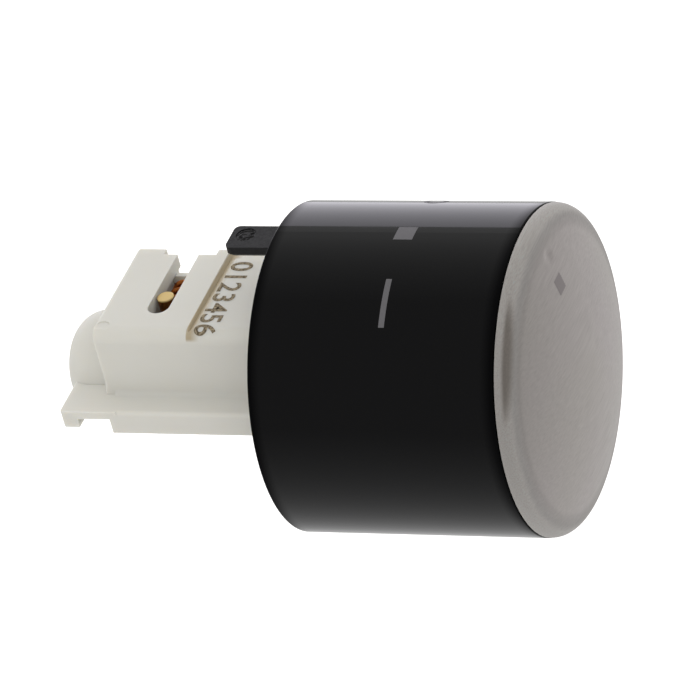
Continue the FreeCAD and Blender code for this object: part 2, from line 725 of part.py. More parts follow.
def return_spring():
    start = FreeCAD.Vector(0, -spring_shoulder - washer, 0)
    length = start.y - (slider_flange_y + washer)
    return coil(return_coil_r, return_wire, return_turns, start, length, FreeCAD.Vector(0, -1, 0))


def spring_washer_rear():
    return tube_y(spring_pocket_r - axial_play, slider_r + washer_gap, -spring_shoulder - washer,
                  -spring_shoulder)


def spring_washer_front():
    return tube_y(front_washer_r, slider_r + fit, slider_flange_y, slider_flange_y + washer)


PIECES = [
    outer_sleeve, front_cap, cap_adhesive_disc, knob_core, sleeve_snap_ring, guide_tongue,
    stop_screws, latch_slider, slider_screws, shaft_clip, spring_washer_front, carrier,
    guide_collar, collar_screws, slide_ring, spring_washer_rear, return_spring, follower_pin,
    bias_spring, bias_spring_plate,
]

os.makedirs("parts", exist_ok=True)
for make in PIECES:
    name = make.__name__
    shape = make()
    solids = shape.Solids
    print(name, "solids", len(solids), "volume", round(shape.Volume, 2), "valid", shape.isValid())
    if len(solids) == 1:
        shape = solids[0]
    shape.exportStep("parts/" + name + ".step")
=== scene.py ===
# %% [markdown]
# A retractable control knob for a built-in cooker: a black lacquered sleeve with a brushed steel
# cap, which slides in and out on a carrier of white acetal.  The mechanical model gives the
# pieces at their real size.  This script gives each piece its finish, makes the few pieces that
# are better as modelled meshes, and sets up a plain studio.  Units are metres, the knob's axis
# is Y with the cap at the -Y end, and +Z points up.

# %% Load the mechanical frame
import math

import bmesh
import bpy
from mathutils import Matrix, Vector, noise


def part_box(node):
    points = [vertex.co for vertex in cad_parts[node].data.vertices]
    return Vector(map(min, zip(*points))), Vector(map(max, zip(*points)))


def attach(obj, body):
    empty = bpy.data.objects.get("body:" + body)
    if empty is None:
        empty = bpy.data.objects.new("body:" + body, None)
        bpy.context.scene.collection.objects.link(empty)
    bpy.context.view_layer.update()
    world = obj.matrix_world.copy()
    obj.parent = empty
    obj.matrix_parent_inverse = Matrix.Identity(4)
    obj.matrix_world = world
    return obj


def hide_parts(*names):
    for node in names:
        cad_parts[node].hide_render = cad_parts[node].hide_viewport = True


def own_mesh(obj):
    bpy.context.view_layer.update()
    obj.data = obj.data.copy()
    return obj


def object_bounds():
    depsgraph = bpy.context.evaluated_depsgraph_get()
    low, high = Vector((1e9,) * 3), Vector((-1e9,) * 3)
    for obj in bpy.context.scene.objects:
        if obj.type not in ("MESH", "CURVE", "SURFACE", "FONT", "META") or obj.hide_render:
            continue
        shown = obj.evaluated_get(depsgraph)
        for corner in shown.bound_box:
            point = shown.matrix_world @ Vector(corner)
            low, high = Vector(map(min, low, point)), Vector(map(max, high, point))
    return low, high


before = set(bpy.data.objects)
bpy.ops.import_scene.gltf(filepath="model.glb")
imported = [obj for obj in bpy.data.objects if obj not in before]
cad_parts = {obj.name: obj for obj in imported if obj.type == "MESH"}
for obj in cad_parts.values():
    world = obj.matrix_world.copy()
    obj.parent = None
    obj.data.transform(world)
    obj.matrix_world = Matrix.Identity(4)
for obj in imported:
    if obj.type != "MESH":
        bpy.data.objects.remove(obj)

cad_box = [list(corner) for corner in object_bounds()]
mm = 0.001
print("CAD box in mm:", [[round(value / mm, 2) for value in corner] for corner in cad_box])

# %% [markdown]
# Many positions below come from the frame's boxes.  A few of them are used again and again, so
# they get names here: the sleeve's two rims, its radius, and the flat top of the carrier.

# %% Places taken from the frame
sleeve_low, sleeve_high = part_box("outer_sleeve")
carrier_low, carrier_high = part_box("carrier")
cap_low, cap_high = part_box("front_cap")
sleeve_r = sleeve_high.x
front_rim_y = sleeve_low.y
rear_rim_y = sleeve_high.y
carrier_top_z = carrier_high.z
print("sleeve radius", round(sleeve_r / mm, 2), "mm, length",
      round((rear_rim_y - front_rim_y) / mm, 2), "mm")

# %% [markdown]
# The knob is looked at from its left side, a little from the front and from above.  It is
# simplest to say this in the knob's own terms: first it is rolled about its axis, then the
# camera swings round towards the cap.  A long lens from far away keeps the two rims of the
# sleeve almost the same size.

# %% Camera
knob_roll = math.radians(52.8)        # from upright, about the knob's own axis
swing = math.radians(22.4965)         # from the side view towards the cap
tilt = math.radians(-0.8589)          # the camera isn't quite level with the axis
lens_mm = 333.25
distance = 624.56 * mm
slide_right = 3.605 * mm              # of the camera, from the rear rim's centre
slide_up = 1.536 * mm

ahead = Vector((0, -1, 0))
upright = Vector((math.cos(knob_roll), 0, math.sin(knob_roll)))
sideways = Vector((-math.sin(knob_roll), 0, math.cos(knob_roll)))
back = math.sin(swing) * ahead + math.cos(swing) * sideways
level_right = math.cos(swing) * ahead - math.sin(swing) * sideways
right = math.cos(tilt) * level_right - math.sin(tilt) * upright
up = math.sin(tilt) * level_right + math.cos(tilt) * upright
rim_centre = Vector((0, rear_rim_y, 0))

camera = bpy.data.objects.new("camera", bpy.data.cameras.new("camera"))
bpy.context.scene.collection.objects.link(camera)
camera.data.lens = lens_mm
camera.data.clip_start = 0.01
axes = Matrix((right, up, back)).transposed().to_4x4()
place = rim_centre + slide_right * right + slide_up * up + distance * back
camera.matrix_world = Matrix.Translation(place) @ axes
bpy.context.scene.camera = camera
print("camera at", [round(value, 4) for value in place])

# %% [markdown]
# Colours are written as sRGB hex values, the way a paint chart gives them.  Cycles works with
# linear light, so one function turns them over.  Another one adds a shader node: its inputs may
# be numbers, colours or the sockets that feed them, and everything else is a setting.

# %% Two helpers for materials
def linear(hex_colour, alpha=1.0):
    """An sRGB hex colour, such as 'c8c4ba', as linear red, green, blue and alpha."""
    parts = [int(hex_colour[i:i + 2], 16) / 255 for i in (0, 2, 4)]
    return (*[p / 12.92 if p <= 0.04045 else ((p + 0.055) / 1.055) ** 2.4 for p in parts], alpha)


def node(tree, kind, inputs={}, **settings):
    """Adds a shader node with its settings, and feeds its inputs with values or sockets."""
    made = tree.nodes.new("ShaderNode" + kind)
    for name, value in settings.items():
        setattr(made, name, value)
    for name, value in inputs.items():
        if isinstance(value, bpy.types.NodeSocket):
            tree.links.new(value, made.inputs[name])
        else:
            made.inputs[name].default_value = value
    return made


def per_mm(size):
    """The scale of a pattern whose grains are this many millimetres apart."""
    return 1000.0 / size


print("linear of mid grey:", [round(value, 3) for value in linear("808080")])

# %% [markdown]
# A material starts with its Principled shader and the object's own coordinates.  The pieces
# stand at the origin, so these coordinates are real metres and a pattern keeps its true size.

# %% A blank material
def blank(name, **sockets):
    """A new material: its node tree, its Principled shader and its object coordinates."""
    material = bpy.data.materials.new(name)
    material.use_nodes = True
    tree = material.node_tree
    shader = tree.nodes["Principled BSDF"]
    for socket, value in sockets.items():
        shader.inputs[socket.replace("_", " ")].default_value = value
    return material, tree, shader, node(tree, "TexCoord").outputs["Object"]


def paint(material, *names):
    """Gives CAD nodes their material."""
    for name in names:
        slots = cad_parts[name].data.materials
        slots.clear()
        slots.append(material)
    print(material.name, "on", ", ".join(names))


# %% [markdown]
# **The sleeve** is a thin metal tube with black lacquer, sprayed and baked.  It is a clear
# dielectric surface over deep black, so it is dark in the middle and mirrors the studio
# towards its edges.  Sprayed lacquer is never quite flat: a very shallow orange peel, about
# two millimetres across, makes the edges of reflections swim a little.  Wet lacquer draws back
# from a sharp rim, so over the last millimetre it is thin and shines less.

# %% Black lacquer
lacquer, tree, shader, spot = blank(
    "black_lacquer", Base_Color=linear("050506"), Roughness=0.07, IOR=1.5)
peel = node(tree, "TexNoise", {"Vector": spot, "Scale": per_mm(2.2), "Detail": 2.0})
film = node(tree, "TexNoise", {"Vector": spot, "Scale": per_mm(6.0), "Detail": 3.0})
haze = node(tree, "MapRange", {"Value": film.outputs["Fac"], "From Min": 0.35, "From Max": 0.7,
                               "To Min": 0.05, "To Max": 0.10})
along = node(tree, "SeparateXYZ", {"Vector": spot}).outputs["Y"]
from_front = node(tree, "MapRange", {"Value": along, "From Min": front_rim_y + 0.3 * mm,
                                     "From Max": front_rim_y + 1.3 * mm})
from_rear = node(tree, "MapRange", {"Value": along, "From Min": rear_rim_y - 0.3 * mm,
                                    "From Max": rear_rim_y - 1.2 * mm})
covered = node(tree, "Math", {0: from_front.outputs["Result"], 1: from_rear.outputs["Result"]},
               operation="MINIMUM")
gloss = node(tree, "MapRange", {"Value": covered.outputs["Value"], "To Min": 0.10, "To Max": 0.4})
tree.links.new(gloss.outputs["Result"], shader.inputs["Specular IOR Level"])
bump = node(tree, "Bump", {"Height": peel.outputs["Fac"], "Strength": 0.35, "Distance": 0.004 * mm})
tree.links.new(haze.outputs["Result"], shader.inputs["Roughness"])
tree.links.new(bump.outputs["Normal"], shader.inputs["Normal"])
paint(lacquer, "outer_sleeve")

# %% [markdown]
# ** The cap** is pressed from stainless sheet and brushed with a belt, so its scratches all run
# one way, across the knob.  Each scratch is a few hundredths of a millimetre wide and several
# millimetres long.  They are drawn a little coarser here, because finer ones would only
# average out.  Noise that is stretched along X gives them, in the colour, the roughness and
# the surface.  The belt doesn't reach over the rounded rim, which is tumbled and duller; its
# colour is painted pale, a painted highlight along the rim.  Just inside it, where the dome
# meets the rim, a slightly darker ring is painted shade.  On one side just inside the rim, a
# darker band is a painted dark reflection.

# %% Brushed stainless steel
cap_r = cap_high.x
steel, tree, shader, spot = blank("brushed_stainless_steel", Metallic=1.0, Roughness=0.34)
belt = node(tree, "Mapping", {"Vector": spot, "Scale": (0.03, 1.0, 1.0)})
scratch = node(tree, "TexNoise", {"Vector": belt.outputs["Vector"], "Scale": per_mm(0.12),
                                  "Detail": 5.0, "Roughness": 0.65})
cloud = node(tree, "TexNoise", {"Vector": spot, "Scale": per_mm(14.0), "Detail": 1.0})
tone = node(tree, "Mix", {"Factor": cloud.outputs["Fac"], 6: linear("c8c4bc"), 7: linear("cbc3c3")},
            data_type="RGBA")
flat_spot = node(tree, "VectorMath", {0: spot, 1: (1, 0, 1)}, operation="MULTIPLY")
from_axis = node(tree, "VectorMath", {0: flat_spot.outputs["Vector"]}, operation="LENGTH")
radius = from_axis.outputs["Value"]
# The rim's colour is painted paler here: a painted highlight along the rim.  Its higher roughness
# is the tumbled finish.
on_rim = node(tree, "MapRange", {"Value": radius, "From Min": cap_r - 2.0 * mm,
                                 "From Max": cap_r - 0.6 * mm})
rim_painted_pale = node(tree, "Mix", {"Factor": on_rim.outputs["Result"], 6: tone.outputs[2],
                           7: linear("fffcf9")}, data_type="RGBA")
# A band on one side just inside the rim is painted darker: a painted dark reflection.
dark_band_side = Vector((-0.764, 0, 0.646))
towards = node(tree, "VectorMath", {0: flat_spot.outputs["Vector"], 1: dark_band_side / cap_r},
               operation="DOT_PRODUCT")
facing_dark_band_side = node(tree, "MapRange", {"Value": towards.outputs["Value"], "From Min": 0.895,
                                  "From Max": 0.965}, interpolation_type="SMOOTHSTEP")
bare = node(tree, "MapRange", {"Value": radius, "From Min": cap_r - 0.08 * mm,
                               "From Max": cap_r - 0.3 * mm}, interpolation_type="SMOOTHSTEP")
painted_dark_band = node(tree, "Math", {0: facing_dark_band_side.outputs["Result"], 1: bare.outputs["Result"]},
               operation="MULTIPLY")
darker = node(tree, "Mix", {"Factor": painted_dark_band.outputs["Value"], 6: rim_painted_pale.outputs[2],
                            7: linear("d6d0ca")}, data_type="RGBA")
streak = node(tree, "MapRange", {"Value": scratch.outputs["Fac"], "From Min": 0.3, "From Max": 0.7,
                                 "To Min": 0.91, "To Max": 1.06})
# The ring where the dome meets the rim is painted darker: painted shade in the crease.
into_crease = node(tree, "MapRange", {"Value": radius, "From Min": cap_r - 2.6 * mm,
                                      "From Max": cap_r - 1.7 * mm},
                   interpolation_type="SMOOTHSTEP")
out_of_crease = node(tree, "MapRange", {"Value": radius, "From Min": cap_r - 0.6 * mm,
                                        "From Max": cap_r - 1.3 * mm},
                     interpolation_type="SMOOTHSTEP")
crease = node(tree, "Math", {0: into_crease.outputs["Result"], 1: out_of_crease.outputs["Result"]},
              operation="MULTIPLY")
painted_crease_shade = node(tree, "MapRange", {"Value": crease.outputs["Value"], "To Min": 1.0, "To Max": 0.86})
shade = node(tree, "Math", {0: streak.outputs["Result"], 1: painted_crease_shade.outputs["Result"]},
             operation="MULTIPLY")
colour = node(tree, "VectorMath", {0: darker.outputs[2], 1: shade.outputs["Value"]},
              operation="MULTIPLY")
rough = node(tree, "MapRange", {"Value": scratch.outputs["Fac"], "From Min": 0.3, "From Max": 0.7,
                                "To Min": 0.44, "To Max": 0.34})
tumbled = node(tree, "Mix", {"Factor": on_rim.outputs["Result"], 2: rough.outputs["Result"],
                             3: 0.9})
bump = node(tree, "Bump", {"Height": scratch.outputs["Fac"], "Strength": 0.5,
                           "Distance": 0.005 * mm})
tree.links.new(colour.outputs["Vector"], shader.inputs["Base Color"])
tree.links.new(tumbled.outputs[0], shader.inputs["Roughness"])
tree.links.new(bump.outputs["Normal"], shader.inputs["Normal"])
paint(steel, "front_cap")

# %% [markdown]
# ** The carrier** is moulded from natural acetal, a milky plastic that light enters a little way
# before it comes back, so its shadows are soft and warm.  The mould was spark eroded, which
# leaves a fine even grain.  The trough beside the digits is painted olive brown, fading towards
# the front: painted shade in the trough, partly a stain.

# %% Natural acetal
acetal, tree, shader, spot = blank(
    "natural_acetal", Base_Color=linear("d8d8d2"), Roughness=0.48, IOR=1.48,
    Subsurface_Weight=0.6, Subsurface_Scale=0.9 * mm)
shader.inputs["Subsurface Radius"].default_value = (1.0, 0.9, 0.75)
grain = node(tree, "TexNoise", {"Vector": spot, "Scale": per_mm(0.16), "Detail": 2.0})
flow = node(tree, "TexNoise", {"Vector": spot, "Scale": per_mm(5.0), "Detail": 2.0})
milk = node(tree, "Mix", {"Factor": flow.outputs["Fac"], 6: linear("d6d5cf"), 7: linear("dadad4")},
            data_type="RGBA")
axes_of = node(tree, "SeparateXYZ", {"Vector": spot})
# The trough is painted olive brown here, fading towards the front: painted shade, partly a stain.
trough_y = -15.1 * mm
near_rear = node(tree, "MapRange", {"Value": axes_of.outputs["Y"], "From Min": trough_y + 0.02 * mm,
                                    "From Max": trough_y - 0.06 * mm})
near_front = node(tree, "MapRange", {"Value": axes_of.outputs["Y"], "From Min": trough_y - 1.4 * mm,
                                     "From Max": trough_y - 0.5 * mm})
near_top = node(tree, "MapRange", {"Value": axes_of.outputs["Z"],
                                   "From Min": carrier_top_z - 1.0 * mm,
                                   "From Max": carrier_top_z - 0.7 * mm})
inside = node(tree, "Math", {0: near_rear.outputs["Result"], 1: near_front.outputs["Result"]},
              operation="MULTIPLY")
trough_shade_and_stain = node(tree, "Math", {0: inside.outputs["Value"], 1: near_top.outputs["Result"]},
             operation="MULTIPLY")
with_trough_shade_and_stain = node(tree, "Mix", {"Factor": trough_shade_and_stain.outputs["Value"], 6: milk.outputs[2],
                          7: linear("b3a68c")}, data_type="RGBA")
bump = node(tree, "Bump", {"Height": grain.outputs["Fac"], "Strength": 0.25,
                           "Distance": 0.01 * mm})
tree.links.new(with_trough_shade_and_stain.outputs[2], shader.inputs["Base Color"])
tree.links.new(bump.outputs["Normal"], shader.inputs["Normal"])
paint(acetal, "carrier", "bias_spring_plate")

# %% [markdown]
# **Black mouldings**: the knob's core and the tongue on it are glass-filled nylon.  Its skin is
# nearly matt, and the short fibres leave it faintly mottled.

# %% Glass-filled nylon
nylon, tree, shader, spot = blank(
    "black_glass_filled_nylon", Base_Color=linear("0c0c0f"), Roughness=0.55, IOR=1.53,
    Specular_IOR_Level=0.55)
fibre = node(tree, "TexNoise", {"Vector": spot, "Scale": per_mm(0.22), "Detail": 3.0})
patch = node(tree, "MapRange", {"Value": fibre.outputs["Fac"], "From Min": 0.35, "From Max": 0.7,
                                "To Min": 0.48, "To Max": 0.64})
bump = node(tree, "Bump", {"Height": fibre.outputs["Fac"], "Strength": 0.4,
                           "Distance": 0.012 * mm})
tree.links.new(patch.outputs["Result"], shader.inputs["Roughness"])
tree.links.new(bump.outputs["Normal"], shader.inputs["Normal"])
paint(nylon, "knob_core", "guide_tongue")

# %% [markdown]
# **Grey acetal** makes the slider and the guide collar, which rub on other plastics all their
# life.  It is the same slippery plastic as the carrier, coloured grey.  The slide ring is a
# harder, waxy brown plastic.

# %% Grey acetal and the bearing plastic
bearing_finishes = {
    "grey_acetal": ("8c8f90", 0.38, ("latch_slider", "guide_collar")),
    "waxy_bearing_plastic": ("8a7452", 0.42, ("slide_ring",)),
}
for name, (hex_colour, roughness, pieces) in bearing_finishes.items():
    plastic, tree, shader, spot = blank(
        name, Base_Color=linear(hex_colour), Roughness=roughness, IOR=1.48,
        Subsurface_Weight=0.08, Subsurface_Scale=0.3 * mm)
    grain = node(tree, "TexNoise", {"Vector": spot, "Scale": per_mm(0.2), "Detail": 2.0})
    sheen = node(tree, "MapRange", {"Value": grain.outputs["Fac"], "To Min": roughness - 0.08,
                                    "To Max": roughness + 0.08})
    bump = node(tree, "Bump", {"Height": grain.outputs["Fac"], "Strength": 0.2,
                               "Distance": 0.01 * mm})
    tree.links.new(sheen.outputs["Result"], shader.inputs["Roughness"])
    tree.links.new(bump.outputs["Normal"], shader.inputs["Normal"])
    paint(plastic, *pieces)

# %% [markdown]
# **Small metal pieces** differ in colour, in how they were made and so in their marks.  Wire is
# drawn, which leaves lines too fine to see, and then has a soft even shine.  Zinc plating is
# bluish and slightly cloudy.

# %% Metals
metal_finishes = {
    "bronze_wire": ("cf7a3c", 0.26, 0.4, ("bias_spring",)),
    "drawn_spring_steel": ("b4b5b6", 0.24, 0.6, ("return_spring", "shaft_clip",
                                                 "sleeve_snap_ring")),
    "zinc_plate": ("c3c8cc", 0.30, 0.9, ("slider_screws", "collar_screws", "stop_screws",
                                         "spring_washer_front", "spring_washer_rear")),
}
metals = {}
for name, (hex_colour, roughness, cloud_mm, pieces) in metal_finishes.items():
    metal, tree, shader, spot = blank(
        name, Base_Color=linear(hex_colour), Metallic=1.0, Roughness=roughness)
    cloud = node(tree, "TexNoise", {"Vector": spot, "Scale": per_mm(cloud_mm), "Detail": 4.0})
    shine = node(tree, "MapRange", {"Value": cloud.outputs["Fac"], "From Min": 0.3,
                                    "From Max": 0.7, "To Min": roughness - 0.06,
                                    "To Max": roughness + 0.10})
    tarnish = node(tree, "HueSaturation", {"Color": linear(hex_colour)})
    value = node(tree, "MapRange", {"Value": cloud.outputs["Fac"], "To Min": 1.08, "To Max": 0.88})
    tree.links.new(value.outputs["Result"], tarnish.inputs["Value"])
    tree.links.new(tarnish.outputs["Color"], shader.inputs["Base Color"])
    tree.links.new(shine.outputs["Result"], shader.inputs["Roughness"])
    metals[name] = metal
    paint(metal, *pieces)

# %% [markdown]
# ** The follower pin** is turned from brass, and its end, where it was parted off, has the fine
# rings of the tool.  Its end is painted bright gold, a painted highlight, and its mottled sides a
# dark copper brown, painted shade.

# %% Turned brass
pin_low, pin_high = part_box("follower_pin")
brass, tree, shader, spot = blank("turned_brass", Metallic=1.0, Roughness=0.3)
parts_of = node(tree, "SeparateXYZ", {"Vector": spot})
# The end is painted bright gold, a painted highlight; the sides are painted dark copper brown,
# painted shade.
painted_lit_end = node(tree, "MapRange", {"Value": parts_of.outputs["Z"],
                                 "From Min": pin_high.z - 0.16 * mm,
                                 "From Max": pin_high.z - 0.06 * mm})
side_mottle = node(tree, "TexNoise", {"Vector": spot, "Scale": per_mm(0.6), "Detail": 3.0})
brown = node(tree, "Mix", {"Factor": side_mottle.outputs["Fac"], 6: linear("5a3218"),
                           7: linear("9a6230")}, data_type="RGBA")
lit_end_and_shaded_sides = node(tree, "Mix", {"Factor": painted_lit_end.outputs["Result"], 6: brown.outputs[2],
                          7: linear("fbdd98")}, data_type="RGBA")
offset = node(tree, "VectorMath", {0: spot, 1: (0, -(pin_low.y + pin_high.y) / 2, 0)})
rings = node(tree, "TexWave", {"Vector": offset.outputs["Vector"], "Scale": per_mm(0.7),
                               "Distortion": 1.0}, wave_type="RINGS", rings_direction="Z")
bump = node(tree, "Bump", {"Height": rings.outputs["Fac"], "Strength": 0.3, "Distance": 0.004 * mm})
tree.links.new(lit_end_and_shaded_sides.outputs[2], shader.inputs["Base Color"])
tree.links.new(bump.outputs["Normal"], shader.inputs["Normal"])
paint(brass, "follower_pin")

# %% [markdown]
# **The adhesive disc** is a dense acrylic foam tape, dark grey, with cells about a third of a
# millimetre across.  It can only be seen when the cap is off.

# %% Foam tape
foam, tree, shader, spot = blank(
    "acrylic_foam_tape", Base_Color=linear("3a3b3d"), Roughness=0.85, IOR=1.48)
cells = node(tree, "TexVoronoi", {"Vector": spot, "Scale": per_mm(0.35)})
bump = node(tree, "Bump", {"Height": cells.outputs["Distance"], "Strength": 0.6,
                           "Distance": 0.05 * mm})
tree.links.new(bump.outputs["Normal"], shader.inputs["Normal"])
paint(foam, "cap_adhesive_disc")

# %% [markdown]
# New pieces are finished bmeshes that are turned into objects at the origin.  One function does
# this for all of them: it names the body that the piece rides on and the finish that it takes.

# %% A helper that places a modelled piece
def place_piece(name, bm, material, body, smooth=True):
    """Makes an object of a bmesh and lets it ride on a body."""
    bmesh.ops.recalc_face_normals(bm, faces=bm.faces)
    for face in bm.faces:
        face.smooth = smooth
    mesh = bpy.data.meshes.new(name)
    bm.to_mesh(mesh)
    bm.free()
    mesh.materials.append(material)
    piece = bpy.data.objects.new(name, mesh)
    bpy.context.scene.collection.objects.link(piece)
    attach(piece, body)
    print(name, "has", len(mesh.polygons), "faces")
    return piece


# %% [markdown]
# **The cap's shape** is a shallow dome with a rounded rim, pressed from sheet.  Its mechanical
# mesh is coarse for something that shines, so the same profile is spun here in fine steps.  The
# small dimple near its edge is pushed in afterwards, vertex by vertex.

# %% Finely spun cap
dome_r = 48.0 * mm
rim_r = 1.5 * mm
cap_sheet = 0.5 * mm
rim_steps = 12
dome_rings = 90
turn_steps = 192
dome_centre_y = cap_low.y + dome_r
bend_centre = Vector((cap_r - rim_r, cap_high.y))      # of the rim: radius and Y
lean = math.asin(bend_centre.x / (dome_r - rim_r))


def cap_profile(inset):
    """Radius and Y along the cap's face, from its edge to just before its middle."""
    line = [(cap_r - inset, cap_high.y)]
    for step in range(1, rim_steps + 1):
        angle = math.pi / 2 + (lean - math.pi / 2) * step / rim_steps
        line.append((bend_centre.x + (rim_r - inset) * math.sin(angle),
                     bend_centre.y - (rim_r - inset) * math.cos(angle)))
    for step in range(1, dome_rings):
        angle = lean * (1 - step / dome_rings)
        line.append(((dome_r - inset) * math.sin(angle),
                     dome_centre_y - (dome_r - inset) * math.cos(angle)))
    return line + [(0, dome_centre_y - dome_r + inset)]


bm = bmesh.new()
corners = cap_profile(0)[::-1] + cap_profile(cap_sheet)
verts = [bm.verts.new((radius_at, y, 0)) for radius_at, y in corners]
edges = [bm.edges.new(pair) for pair in zip(verts, verts[1:])]
bmesh.ops.spin(bm, geom=[*verts, *edges], cent=(0, 0, 0), axis=(0, 1, 0), angle=math.tau,
               steps=turn_steps, use_merge=True)
bmesh.ops.remove_doubles(bm, verts=bm.verts, dist=1e-7)
dimple = Vector((0.55 * mm, 0, 13.0 * mm))
dimple_r = 0.8 * mm
dimple_depth = 0.13 * mm
for vert in bm.verts:
    away = math.hypot(vert.co.x - dimple.x, vert.co.z - dimple.z) / dimple_r
    if away < 1:
        vert.co.y += dimple_depth * (1 - away ** 2)
for edge in bm.edges:
    edge.smooth = edge.calc_face_angle(0) < math.radians(40)
smooth_cap = place_piece("spun_cap", bm, steel, "knob")
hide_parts("front_cap")

# %% [markdown]
# **The marks on the sleeve** are made by a laser that clears the lacquer and leaves a matt grey
# surface.  They stand in one ring round the sleeve: a small square at the top, a short dash and a
# small circle.  Each is a thin patch of its own.  It is made flat and cut fine enough to be bent
# round the sleeve, and it stands a hundredth of a millimetre proud so that it always covers.

# %% Laser marks on the sleeve
lasered, tree, shader, spot = blank(
    "lasered_lacquer", Base_Color=linear("646367"), Roughness=0.55, IOR=1.5)
dots = node(tree, "TexNoise", {"Vector": spot, "Scale": per_mm(0.12), "Detail": 2.0})
pale = node(tree, "Mix", {"Factor": dots.outputs["Fac"], 6: linear("59585c"), 7: linear("6c6b6f")},
            data_type="RGBA")
tree.links.new(pale.outputs[2], shader.inputs["Base Color"])

mark_y = -37.61 * mm
mark_proud = 0.012 * mm


def flat_patch(width, length, steps=12):
    """A flat strip in XY, cut into steps along its length."""
    bm = bmesh.new()
    bmesh.ops.create_grid(bm, x_segments=2, y_segments=steps, size=0.5)
    bmesh.ops.scale(bm, vec=(width, length, 1), verts=bm.verts)
    return bm


def flat_ring(outer, inner, steps=48):
    """A flat ring in XY."""
    bm = bmesh.new()
    edge = bm.edges.new([bm.verts.new((inner, 0, 0)), bm.verts.new((outer, 0, 0))])
    bmesh.ops.spin(bm, geom=[edge, *edge.verts], cent=(0, 0, 0), axis=(0, 0, 1),
                   angle=math.tau, steps=steps, use_merge=True)
    return bm


def wrap_on_sleeve(bm, centre_angle):
    """Bends a flat patch round the sleeve.  Its X runs along the axis, its Y round the sleeve.
    Angles are measured from +Z towards +X."""
    radius = sleeve_r + mark_proud
    for vert in bm.verts:
        angle = centre_angle + vert.co.y / radius
        vert.co = (radius * math.sin(angle), mark_y + vert.co.x, radius * math.cos(angle))
    return bm


marks = {
    "sleeve_square_mark": (flat_patch(1.94 * mm, 1.98 * mm), -0.4),
    "sleeve_dash_mark": (flat_patch(0.58 * mm, 4.97 * mm, steps=24), -30.5),
    "sleeve_ring_mark": (flat_ring(1.2 * mm, 0.78 * mm), 30.0),
}
for name, (patch, degrees) in marks.items():
    place_piece(name, wrap_on_sleeve(patch, math.radians(degrees)), lasered, "knob")

# %% [markdown]
# **The mark on the cap** is etched: a square of 1.6 mm where the brushed grain is gone and the
# steel is a shade darker.  It follows the dome.

# %% Etched square on the cap
etched, tree, shader, spot = blank(
    "etched_steel", Base_Color=linear("b0a9a9"), Metallic=1.0, Roughness=0.5)
pits = node(tree, "TexNoise", {"Vector": spot, "Scale": per_mm(0.09), "Detail": 2.0})
bump = node(tree, "Bump", {"Height": pits.outputs["Fac"], "Strength": 0.4, "Distance": 0.01 * mm})
tree.links.new(bump.outputs["Normal"], shader.inputs["Normal"])

etch_z = 10.15 * mm
etch_side = 1.6 * mm
etch_proud = 0.006 * mm
bm = flat_patch(etch_side, etch_side)
for vert in bm.verts:
    x, z = vert.co.x, etch_z + vert.co.y
    y = dome_centre_y - math.sqrt((dome_r + etch_proud) ** 2 - x * x - z * z)
    vert.co = (x, y, z)
place_piece("cap_square_mark", bm, etched, "knob")

# %% [markdown]
# **The digits** on the carrier are burnt into the plastic, as a plain counting row.  Blender's
# own font gives their outline.  A text object is made flat, turned into a mesh, cut into small
# faces, and then laid on the carrier, where the last digit follows the rounded edge down.

# %% Burnt digits
burnt, tree, shader, spot = blank(
    "burnt_acetal", Base_Color=linear("6f6148"), Roughness=0.8, IOR=1.48)
char = node(tree, "TexNoise", {"Vector": spot, "Scale": per_mm(0.25), "Detail": 3.0})
uneven = node(tree, "MapRange", {"Value": char.outputs["Fac"], "From Min": 0.36, "From Max": 0.64})
scorch = node(tree, "Mix", {"Factor": uneven.outputs["Result"], 6: linear("554935"),
                            7: linear("a3967d")}, data_type="RGBA")
tree.links.new(scorch.outputs[2], shader.inputs["Base Color"])

digit_row = "0123456"
digit_height = 2.3 * mm
digit_width = 2.3 * mm         # of a square letter
digit_pitch = 1.68 * mm
first_digit_x = 4.5 * mm
digit_middle_y = -17.3 * mm
digit_slant = 0.27 * mm / 6    # each digit stands this much further back
stroke_spread = 0.016          # of the letter's size: a burnt line is wider than a drawn one
digit_proud = 0.012 * mm
edge_r = 1.3 * mm
edge_x = -6.5 * mm + edge_r
edge_z = carrier_top_z - edge_r
fold_cuts = 14                 # straight cuts that let the row bend over the edge
fold_step = 0.1 * mm


def digit_mesh(digit):
    """One digit as a flat mesh, centred on the origin, one unit high."""
    curve = bpy.data.curves.new("digit", "FONT")
    curve.body = digit
    curve.resolution_u = 6
    curve.offset = stroke_spread
    text = bpy.data.objects.new("digit", curve)
    bpy.context.scene.collection.objects.link(text)
    flat = bpy.data.meshes.new_from_object(text)
    bpy.data.objects.remove(text)
    bm = bmesh.new()
    bm.from_mesh(flat)
    bmesh.ops.remove_doubles(bm, verts=bm.verts, dist=1e-5)
    xs = [vert.co.x for vert in bm.verts]
    ys = [vert.co.y for vert in bm.verts]
    height = max(ys) - min(ys)
    middle = Vector(((max(xs) + min(xs)) / 2, (max(ys) + min(ys)) / 2, 0))
    bmesh.ops.translate(bm, vec=-middle, verts=bm.verts)
    bmesh.ops.scale(bm, vec=(1 / height, 1 / height, 1), verts=bm.verts)
    return bm


def lay_on_carrier(vert):
    """Puts a point of the digits on the carrier's top or on its rounded edge."""
    x, y = vert.co.x, vert.co.y
    over = edge_x - x
    if over <= 0:
        vert.co = (x, y, carrier_top_z + digit_proud)
    else:
        angle = min(over / edge_r, math.pi / 2)
        radius = edge_r + digit_proud
        vert.co = (edge_x - radius * math.sin(angle), y, edge_z + radius * math.cos(angle))


